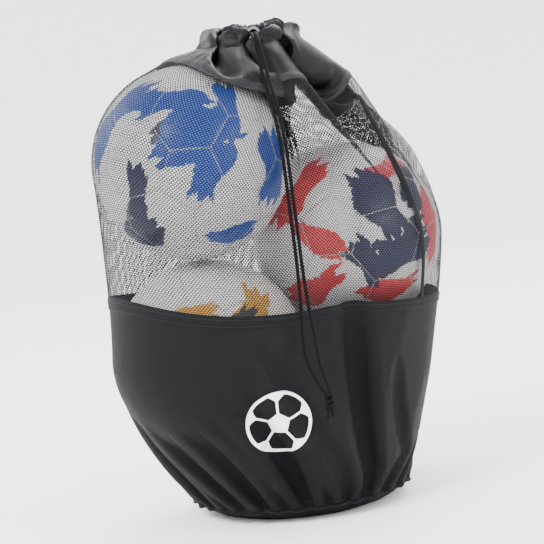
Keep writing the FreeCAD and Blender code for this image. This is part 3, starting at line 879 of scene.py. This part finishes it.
rows_i = np.arange(-1, net_rows + 1)
shift = np.where(rows_i % 2 == 0, 0.0, 0.5)
centre_u = (np.arange(NET_COLUMNS)[None] + shift[:, None]) * HOLE_STEP
centre_v = np.repeat((rows_i + 1.0)[:, None] * HOLE_RISE, NET_COLUMNS, 1)
jitter_u = rng.normal(size=centre_u.shape) * 0.07 * MM
jitter_v = rng.normal(size=centre_u.shape) * 0.05 * MM
# Where the yarns cross they stand a little proud of the holes' edges.
tops = on_net(centre_u + jitter_u, centre_v + HOLE_TALL + jitter_v, YARN_RISE)
feet = on_net(centre_u + jitter_v, centre_v - HOLE_TALL + jitter_u, YARN_RISE)
inner_u, inner_v = centre_u[1:-1], centre_v[1:-1]
# The six corners of a hole, inside the yarn that surrounds it.
half, tall, short = HOLE_STEP / 2 - YARN, HOLE_TALL - YARN * 1.25, HOLE_SHORT - YARN * 0.25
hexagon = [(0, tall), (half, short), (half, -short), (0, -tall), (-half, -short), (-half, short)]
inside = np.stack([on_net(inner_u + du, inner_v + dv, 0.0) for du, dv in hexagon], 2)
cell_i, cell_j = np.meshgrid(np.arange(1, net_rows + 1), np.arange(NET_COLUMNS), indexing="ij")
odd = (rows_i[cell_i] % 2 != 0).astype(int)
right, left = (cell_j + odd) % NET_COLUMNS, (cell_j - 1 + odd) % NET_COLUMNS
feet_start = tops.shape[0] * NET_COLUMNS
inside_start = feet_start + feet.shape[0] * NET_COLUMNS
above, below = (cell_i + 1) * NET_COLUMNS, (cell_i - 1) * NET_COLUMNS
outer = np.stack(
    [
        cell_i * NET_COLUMNS + cell_j, feet_start + above + right, below + right,
        feet_start + cell_i * NET_COLUMNS + cell_j, below + left, feet_start + above + left,
    ],
    2,
).reshape(-1, 6)
inner = inside_start + np.arange(len(outer))[:, None] * 6 + np.arange(6)[None]
quads = np.stack([outer, inner, np.roll(inner, -1, 1), np.roll(outer, -1, 1)], 2).reshape(-1, 4)
net_points = np.concatenate([tops.reshape(-1, 3), feet.reshape(-1, 3), inside.reshape(-1, 3)])
net_uv = np.concatenate(
    [
        np.stack([centre_u, centre_v + HOLE_TALL], -1).reshape(-1, 2),
        np.stack([centre_u, centre_v - HOLE_TALL], -1).reshape(-1, 2),
        np.stack([np.stack([inner_u + du, inner_v + dv], -1) for du, dv in hexagon], 2).reshape(-1, 2),
    ]
)
net = add_mesh("net_panel", net_points, quads, net_uv[quads.ravel()])
finish_piece(net, net_yarn, "bag", ["mesh_panel"])

# ---- the gathered mouth

CHANNEL_STRIP = 0.070
CHANNEL_ROWS = 48
JOINING_ROWS = 7
BORE_RADIUS = 5.4 * MM


def raised(turn, toward, height, sharpness):
    """How far the channel stands up round one direction, in mm."""
    return height * np.exp(-((np.cos(turn - toward) - 1) ** 2) * sharpness)


def channel_grid():
    """The hem that runs up and over the cord: it starts on the collar and is flat at the eyelet."""
    low, high = span(*LOBES)
    tube_radius = (high[2] - low[2]) / 2
    ring_radius = (high[0] - low[0]) / 2 - tube_radius
    turn = ROUND / COLUMNS * TAU
    phase = np.interp(ROUND, np.arange(COLUMNS + 1), np.append(PLEATS, PLEATS[0] + TAU * FOLDS))
    top_edge = patch(CLOTH, [ROWS - 1], ROUND)[0]
    swell = wobble(rng, turn, 7, 0.2) / 2.2
    flat = np.exp(-(((turn - math.radians(270)) / 0.26) ** 4))
    hump = raised(turn, 2.7, 1.5, 6) + raised(turn, 0.3, 4.0, 9)
    crease = 1.5 * np.sin(2.3 * phase + 1.0) + rng.normal(size=len(turn)) * 0.1
    rings = []
    for k, a in enumerate(np.linspace(-0.62 * math.pi, 1.30 * math.pi, CHANNEL_ROWS)):
        fade = 1.0 if a < 1.6 else max(0.35, 1.6 - 0.35 * a)
        sway = phase + 0.35 * np.sin(a * 1.7) + 0.15 * crease
        fold = np.cos(sway) * 2.5 * fade + 0.6 * np.sin(3 * a + 4 * swell) + 1.1 * swell - 1.9
        fold = np.maximum(fold, -5.5) * (1 - flat) - 0.6 * flat
        size = tube_radius + fold * MM
        across = ring_radius + size * math.cos(a)
        height = mouth[2] + size * math.sin(a)
        height = height + hump * (1 - flat) * MM * max(0.0, math.sin(a))
        ring = np.stack([mouth[0] + across * np.cos(turn), mouth[1] + across * np.sin(turn), height], 1)
        if k < JOINING_ROWS:
            share = (k / JOINING_ROWS) ** 1.5
            ring = top_edge * (1 - share) + ring * share
        rings.append(ring)
    return np.array(rings)


def press_flat(points):
    """Hold the cloth back behind the eyelet's flange."""
    x, y, z = points[..., 0], points[..., 1], points[..., 2]
    behind = (np.abs(x - mouth[0]) < 6.5 * MM) & (y < mouth[1]) & (np.abs(z - mouth[2]) < 7 * MM)
    points[..., 1] = np.where(behind, np.maximum(y, exit_y + 1.4 * MM), y)


def cut_bore(obj):
    """Take out the faces that the eyelet's hole goes through."""
    shape = bmesh.new()
    shape.from_mesh(obj.data)
    bore = []
    for face in shape.faces:
        at = face.calc_center_median()
        if at.y < mouth[1] - 20 * MM and math.hypot(at.x - mouth[0], at.z - mouth[2]) < BORE_RADIUS:
            bore.append(face)
    bmesh.ops.delete(shape, geom=bore, context="FACES")
    shape.to_mesh(obj.data)
    shape.free()


channel = channel_grid()
press_flat(channel)
gather = add_grid("gathered_channel", channel, size=(GIRTH, CHANNEL_STRIP))
cut_bore(gather)
finish_piece(gather, satin, "bag", LOBES)

arc = np.linspace(math.radians(-70), math.radians(250), 200)
loop_low, loop_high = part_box("drawcord_loop")
loop_radius = (loop_high[0] - loop_low[0]) / 2 - CORD / 2
loop_x, loop_y = mouth[0] + loop_radius * np.cos(arc), mouth[1] + loop_radius * np.sin(arc)
loop_line = np.stack([loop_x, loop_y, np.full(len(arc), mouth[2])], 1)
loop = braid("drawcord_loop_in_channel", loop_line, CORD / 2 * 0.97)
finish_piece(loop, cord_yarn, "bag", ["drawcord_loop"])

gunmetal = metal()
for name in ("eyelet", "eyelet_washer"):
    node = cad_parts[name]
    node.data.materials.clear()
    node.data.materials.append(gunmetal)

# ---- base and printed mark

# The underside's radius and height, in mm.
BASE_PROFILE = (
    (0.5, 2.4), (20, 1.9), (45, 1.6), (70, 1.3), (90, 0.8), (98, 0.6), (104, 2.0), (111, 5.2), (119, 9.8),
    (127, 15.4),
)


def base_grid():
    """The round base, puckered towards its seam."""
    turn = np.linspace(0, TAU, 361)[:-1]
    pucker = wobble(rng, turn, 26, 0.1) / 6
    last = len(BASE_PROFILE) - 1
    rings = []
    for k, (r, z) in enumerate(BASE_PROFILE):
        soft = (r / BASE_PROFILE[-1][0]) ** 2
        radius = (r - 0.8 + 0.9 * soft * pucker * (0 < k < last)) * MM
        ripple = 0.7 * soft * np.cos(9 * turn + 1.3) * (5 < k < last)
        height = np.maximum((z + ripple) * MM, 0.4 * MM)
        x, y = BASE_SEAM[0] + radius * np.cos(turn), BASE_SEAM[1] + radius * np.sin(turn)
        rings.append(np.stack([x, y, height], 1))
    return cubic(np.array(rings), np.linspace(0, last, 46), False)


base = add_grid("base_cloth", base_grid(), size=(0.8, 0.13))
finish_piece(base, base_cloth, "bag", ["base_panel"])
seam_line = patch(CLOTH, [0], np.arange(361) * COLUMNS / 360)[0]
seam_line[:, :2] += (seam_line[:, :2] - np.array(BASE_SEAM[:2])) * 0.004
piping = braid("base_piping", seam_line, 1.5 * MM, plait=9 * MM, caps=False)
finish_piece(piping, tape_cloth, "bag", ["base_seam_piping"])
row_stitches("base_stitch", 1.0, 0.35 * MM)


MARK_RADIUS = 37 * MM
MARK_PROUD = 0.35


def mark_strip(pieces, inner_line, outer_line, across):
    """Add a flat strip between two lines to the mark."""
    share = np.linspace(0, 1, across + 1)[:, None, None]
    pieces.append(inner_line[None] * (1 - share) + outer_line[None] * share)


def polar(radius, angles):
    return np.stack([radius * np.cos(angles), radius * np.sin(angles)], -1)


def mark_pieces():
    """A plain round ball sign: a ring, a pentagon, five spokes and five dark patches at the rim."""
    size = MARK_RADIUS
    pieces = []
    whole = np.linspace(0, TAU, 145)
    mark_strip(pieces, polar(0.90 * size, whole), polar(0.995 * size, whole), 3)
    corners = math.pi / 2 + np.arange(6) * TAU / 5
    pentagon = polar(0.36 * size, corners)
    sides = [np.linspace(pentagon[k], pentagon[k + 1], 12, endpoint=False) for k in range(5)]
    edge = np.concatenate(sides + [pentagon[:1]])
    mark_strip(pieces, edge * 0.02, edge, 8)
    for k in range(5):
        way = np.array([math.cos(corners[k]), math.sin(corners[k])])
        side = np.array([-way[1], way[0]]) * 0.035 * size
        run = np.linspace(0.33, 0.70, 14)[:, None] * size * way
        mark_strip(pieces, run - side, run + side, 2)
        spread = np.linspace(-0.30, 0.30, 19)
        tip = (0.66 + 0.26 * np.abs(spread / 0.30)) * size
        angles = corners[k] + spread
        mark_strip(pieces, polar(tip, angles), polar(0.91 * size, angles), 5)
    return pieces


def printed_mark():
    """The sign, laid on the wall from the front."""
    low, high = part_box("printed_mark")
    at = np.array([(low[0] + high[0]) / 2, (low[2] + high[2]) / 2])
    verts, faces, uv, start = [], [], [], 0
    for piece in mark_pieces():
        rows, cols = piece.shape[:2]
        grid, _, _ = grid_faces(rows, cols, False)
        flat = piece.reshape(-1, 2)
        for x, z in flat + at:
            hit, away, _, _ = wall_tree.ray_cast(Vector((x, -0.5, z)), Vector((0, 1, 0)))
            away = away if away.y < 0 else -away
            verts.append((hit + away * MARK_PROUD * MM)[:])
        faces.append(grid + start)
        uv.append(flat[grid.ravel()])
        start += len(flat)
    made = add_mesh("printed_ball_sign", np.array(verts), np.concatenate(faces), np.concatenate(uv))
    return finish_piece(made, white_print(), "bag", ["printed_mark"])


mark = printed_mark()

# ---- the balls


# How far out each kind of panel lies on a ball of radius 1.
FIVE_SIDED_OUT, SIX_SIDED_OUT = 0.9393, 0.9149


def panel_planes():
    """Directions of the 12 five-sided and 20 six-sided panels, scaled by how far out they are."""
    golden = (1 + math.sqrt(5)) / 2
    five = []
    for a in (-1, 1):
        for b in (-golden, golden):
            five += [(0, a, b), (a, b, 0), (b, 0, a)]
    five = np.array(five, dtype=float)
    five /= np.linalg.norm(five, axis=1)[:, None]
    six = []
    for i in range(12):
        for j in range(i):
            for k in range(j):
                trio = five[[i, j, k]]
                if (trio @ trio.T).min() > 0.4:
                    six.append(trio.sum(0) / np.linalg.norm(trio.sum(0)))
    return np.concatenate([five / FIVE_SIDED_OUT, np.array(six) / SIX_SIDED_OUT])


PANELS = panel_planes()


def brush(unit, strokes):
    """How far inside a set of brush strokes each point of the ball is, in metres.

    A stroke is its turn, lift and slant in degrees, then half its length and half its width in mm.
    """
    reach = np.full(len(unit), -0.05)
    for turn, lift, angle, long, wide in strokes:
        turn, lift, angle = math.radians(turn), math.radians(lift), math.radians(angle)
        level = math.cos(lift)
        out = np.array([math.sin(turn) * level, -math.cos(turn) * level, math.sin(lift)])
        east = np.array([math.cos(turn), math.sin(turn), 0.0])
        north = np.cross(out, east) * -1
        north = north if north[2] > 0 else -north
        along = east * math.cos(angle) + north * math.sin(angle)
        across = np.cross(out, along)
        s, w = unit @ along * BALL_RADIUS, unit @ across * BALL_RADIUS
        bend = 0.18 * s * np.sin(s * 30 + turn * 5)
        long, wide = long * MM * 1.3, wide * MM * 1.75
        width = wide * (1 + 0.25 * np.sin(s * 95 + lift * 7)) * (1 - 0.25 * (s / long) ** 2)
        ragged = long * (1 + 0.13 * np.sin(w * 420 + turn * 9) + 0.07 * np.sin(w * 1100))
        gap = np.minimum(ragged - np.abs(s), width - np.abs(w + bend))
        reach = np.maximum(reach, np.where(unit @ out > 0, gap, -0.05))
    return reach


def make_ball(name, spin, inks, strokes_a, strokes_b, fineness=7):
    """One ball: its panels turned by spin, and the strokes of its two inks."""
    at = centre(name + "_cover")
    shape = bmesh.new()
    bmesh.ops.create_icosphere(shape, subdivisions=fineness, radius=1.0)
    mesh = bpy.data.meshes.new(name + "_skin")
    shape.to_mesh(mesh)
    shape.free()
    unit = np.empty(len(mesh.vertices) * 3)
    mesh.vertices.foreach_get("co", unit)
    unit = unit.reshape(-1, 3)
    unit /= np.linalg.norm(unit, axis=1)[:, None]
    turned = unit @ np.array(Quaternion(Vector(spin[:3]).normalized(), spin[3]).to_matrix())
    score = turned @ PANELS.T
    order = np.argsort(-score, axis=1)[:, :2]
    row = np.arange(len(unit))
    apart = np.linalg.norm(PANELS[order[:, 0]] - PANELS[order[:, 1]], axis=1)
    seam = (score[row, order[:, 0]] - score[row, order[:, 1]]) / apart * BALL_RADIUS
    groove = 0.95 * MM * np.exp(-((seam / (1.9 * MM)) ** 2))
    crown = 0.5 * MM * np.exp(-seam / (9 * MM))
    radius = BALL_RADIUS - 0.35 * MM - groove - crown
    points = at + unit * radius[:, None]
    mesh.vertices.foreach_set("co", points.astype(np.float32).ravel())
    for key, values in (
        ("seam", seam), ("ink_a", brush(unit, strokes_a)), ("ink_b", brush(unit, strokes_b)),
    ):
        mesh.attributes.new(key, "FLOAT", "POINT").data.foreach_set("value", values.astype(np.float32))
    mesh.polygons.foreach_set("use_smooth", np.full(len(mesh.polygons), True))
    mesh.update()
    obj = bpy.data.objects.new(name + "_skin", mesh)
    bpy.context.collection.objects.link(obj)
    finish_piece(obj, ball_skin(name + "_skin", *inks), name, [name + "_cover"])


BLUE, TEAL = (0.006, 0.065, 0.36), (0.02, 0.20, 0.36)
NAVY, CORAL = (0.008, 0.012, 0.055), (0.60, 0.035, 0.045)
BLACK, GOLD = (0.012, 0.012, 0.014), (0.52, 0.26, 0.012)
make_ball(
    "top_ball", (0.3, 0.5, 0.9, 0.7), (BLUE, NAVY),
    [
        (-62, 32, 62, 46, 11), (4, 20, 24, 36, 15), (12, -2, 66, 26, 11), (-6, 42, -12, 30, 10),
        (30, 30, 70, 30, 9), (58, -6, 80, 30, 14), (30, -48, 10, 22, 8), (150, 10, 40, 40, 14),
        (-130, 5, 70, 34, 13), (190, -30, 10, 30, 12),
    ],
    [
        (-34, -14, 70, 26, 8), (-46, -40, 20, 26, 11), (-8, 26, 20, 20, 5), (100, 20, 60, 30, 9),
    ],
)
make_ball(
    "left_ball", (0.8, 0.2, 0.3, 1.9), (BLACK, GOLD),
    [
        (14, 18, 38, 34, 12), (30, 4, 60, 24, 8), (-30, 14, -20, 18, 6), (-70, 10, 60, 30, 12),
        (140, 10, 30, 36, 12), (-140, -10, 60, 30, 10),
    ],
    [
        (34, 26, 50, 30, 12), (-8, 32, 10, 22, 9), (-52, 24, 66, 22, 9), (10, 4, 20, 26, 8),
        (110, 10, 60, 30, 9), (180, 30, 10, 26, 9),
    ],
)
make_ball(
    "right_ball", (0.1, 0.9, 0.4, 3.1), (NAVY, CORAL),
    [
        (22, 22, -62, 34, 14), (36, -8, 20, 30, 13), (10, -12, -48, 22, 10), (54, 30, 50, 24, 9),
        (130, 10, 70, 36, 13), (-120, 10, 30, 30, 12), (180, -20, 60, 28, 12),
    ],
    [
        (-34, 34, 60, 34, 10), (-20, 4, -40, 26, 8), (-28, -28, 20, 30, 9), (44, 44, 10, 30, 8),
        (62, 4, 80, 34, 9), (26, -34, 12, 28, 8), (100, 20, 60, 30, 9), (200, 20, 40, 34, 10),
    ],
)
make_ball(
    "bottom_ball", (0.6, 0.6, 0.1, 0.4), (NAVY, TEAL),
    [(0, 20, 30, 30, 10), (120, 10, 60, 34, 10), (-110, 0, 30, 30, 10)],
    [(40, -10, 60, 26, 8), (200, 20, 40, 26, 8), (-60, 30, 10, 26, 8)], 6,
)
valve_rubber = rubber("valve_rubber", (0.012, 0.012, 0.013))
bladder_rubber = rubber("bladder_rubber", (0.03, 0.028, 0.026))
for name in BALL_NAMES:
    for part, material in (("_valve", valve_rubber), ("_bladder", bladder_rubber)):
        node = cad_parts[name + part]
        node.data.materials.clear()
        node.data.materials.append(material)
